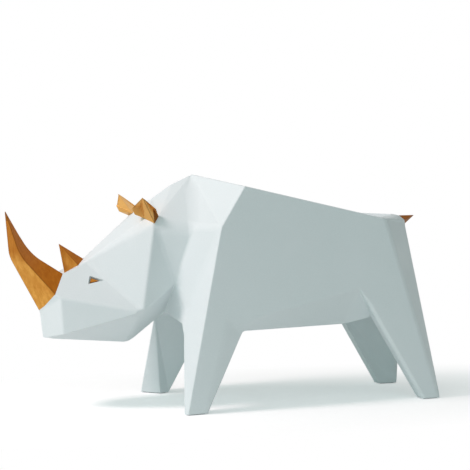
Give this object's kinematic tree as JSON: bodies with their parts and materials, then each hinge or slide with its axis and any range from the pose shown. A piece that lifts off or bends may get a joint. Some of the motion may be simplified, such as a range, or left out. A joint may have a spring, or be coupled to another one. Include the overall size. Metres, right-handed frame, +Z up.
{
  "type": "animal shaped planter",
  "caption": "Faceted standing rhinoceros planter with an open planting trough in its back, gilded horns, ears, eyes and tail, a drain plug and soft foot pads.",
  "frame": {"origin": "on the floor under the middle of the figure", "axes": "+X from the head to the tail, +Y to the animal's right, +Z up"},
  "size_m": [0.27, 0.1004, 0.142],
  "materials": {
    "resin": "matt painted cast resin",
    "gilt": "satin gold paint on cast resin",
    "plug_rubber": "matt",
    "pad_rubber": "matt foam rubber"
  },
  "bodies": {
    "planter": {"body_shell": "resin", "front_horn": "gilt", "rear_horn": "gilt", "left_ear": "gilt", "right_ear": "gilt", "left_eye": "gilt", "right_eye": "gilt", "tail": "gilt", "front_left_pad": "pad_rubber", "front_right_pad": "pad_rubber", "rear_left_pad": "pad_rubber", "rear_right_pad": "pad_rubber"},
    "plug": {"drain_plug": "plug_rubber"}
  },
  "joints": [
    {"name": "plug_lift", "type": "slide", "parent": "planter", "child": "plug", "axis": [0, 0, 1], "range_m": [0, 0.06]}
  ]
}
